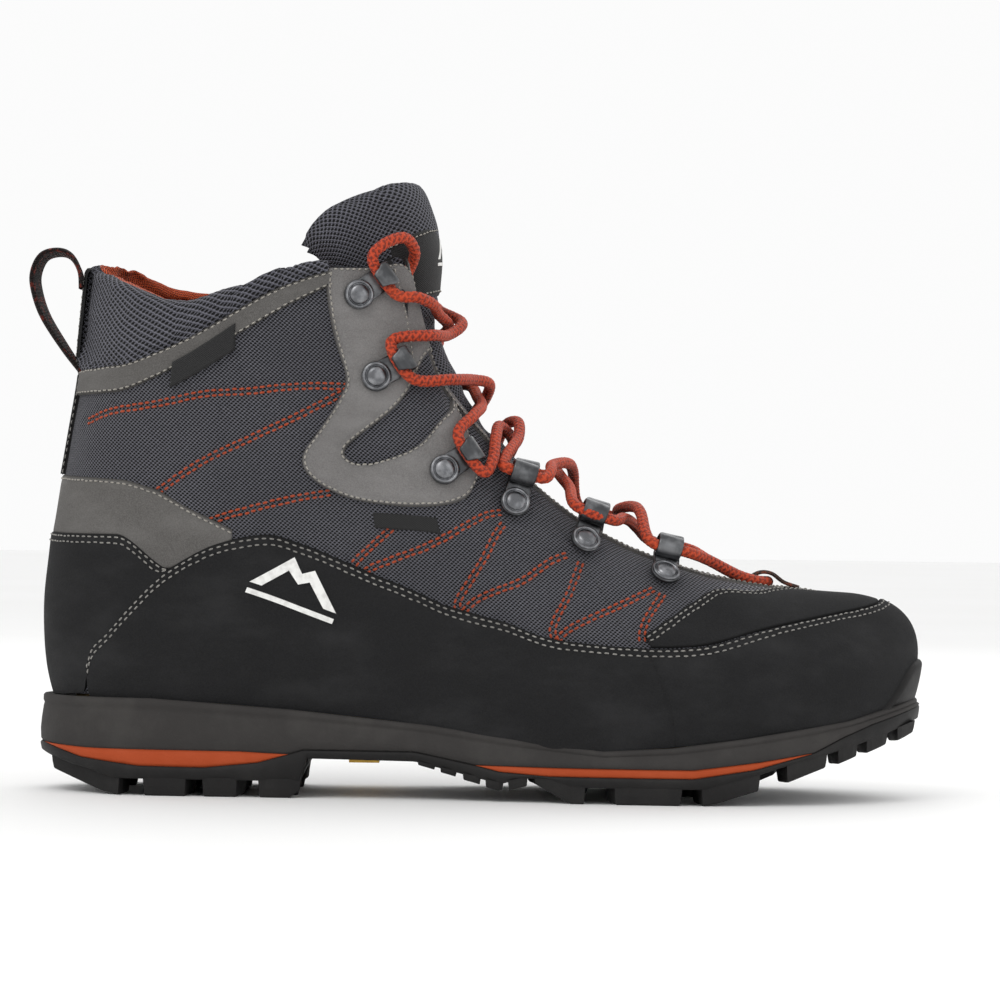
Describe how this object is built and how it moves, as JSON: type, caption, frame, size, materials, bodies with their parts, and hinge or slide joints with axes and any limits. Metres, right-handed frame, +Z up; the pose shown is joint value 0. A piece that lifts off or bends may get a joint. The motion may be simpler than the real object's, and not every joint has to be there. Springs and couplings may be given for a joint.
{
  "type": "hiking boot",
  "caption": "Mid-height lace-up hiking boot with mesh and suede upper, padded collar and tongue, steel lace hooks and loops, and a lugged rubber sole",
  "frame": {"origin": "on the ground, under the middle of the boot's bounding box", "axes": "+X to the toe, +Y to the inner side of the foot, +Z up"},
  "size_m": [0.3054, 0.106, 0.208],
  "materials": {
    "sole_rubber": "moulded, matt",
    "midsole_foam": "moulded foam, matt",
    "orange_band": "moulded, matt",
    "yellow_inlay": "moulded",
    "steel": "plain",
    "board": "pressed fibre",
    "foam_bed": "felt over foam",
    "mesh": "coarse woven mesh",
    "lining": "knit lining",
    "stiffener": "sheet",
    "black_suede": "suede",
    "grey_suede": "suede",
    "orange_lining": "knit",
    "binding": "woven tape",
    "webbing": "woven webbing",
    "label": "smooth woven label",
    "badge": "raised print",
    "gunmetal": "dark plated steel",
    "lace": "round braid",
    "tip": "shrunk film"
  },
  "bodies": {
    "boot": {"outsole": "sole_rubber", "midsole": "midsole_foam", "heel_insert": "orange_band", "forefoot_insert": "orange_band", "waist_inlay": "yellow_inlay", "toe_bumper": "sole_rubber", "shank": "steel", "lasting_board": "board", "quarter_lateral": "mesh", "vamp": "mesh", "quarter_medial": "mesh", "lining": "lining", "heel_counter": "stiffener", "toe_puff": "stiffener", "rand_lateral": "black_suede", "toe_rand": "black_suede", "rand_medial": "black_suede", "toe_overlay": "black_suede", "heel_panel": "black_suede", "heel_patch": "grey_suede", "cuff_band_lateral": "grey_suede", "cuff_band_medial": "grey_suede", "collar_lateral": "mesh", "collar_medial": "mesh", "collar_lining": "orange_lining", "eyestay_lateral": "grey_suede", "eyestay_medial": "grey_suede", "throat_binding_lateral": "binding", "throat_binding_medial": "binding", "back_strip": "black_suede", "tongue_lower": "mesh", "side_tag": "label", "model_tag": "label", "side_badge": "badge", "top_hooks": "gunmetal", "top_hook_rivets": "gunmetal", "lock_hooks": "gunmetal", "lock_hook_rivets": "gunmetal", "lace_loops": "gunmetal", "lace_loop_rivets": "gunmetal", "toe_loop": "webbing", "lace": "lace", "lace_tips": "tip"},
    "pull_loop_body": {"pull_loop": "webbing"},
    "tongue_top": {"tongue_upper": "mesh", "tongue_label": "label"},
    "insole": {"footbed": "foam_bed"}
  },
  "joints": [
    {"name": "heel_loop_swing", "type": "hinge", "parent": "boot", "child": "pull_loop_body", "pos_m": [-0.1385, 0, 0.158], "axis": [0.042, 0, 0.9991], "range_deg": [-20, 20], "stiffness_Nm_per_rad": 0.02},
    {"name": "tongue_top_flex", "type": "hinge", "parent": "boot", "child": "tongue_top", "pos_m": [-0.046, 0, 0.15], "axis": [0, 1, 0], "range_deg": [-12, 3], "stiffness_Nm_per_rad": 0.3},
    {"name": "footbed_lift", "type": "hinge", "parent": "boot", "child": "insole", "pos_m": [0.136, 0, 0.034], "axis": [0, 1, 0], "range_deg": [0, 8]}
  ]
}
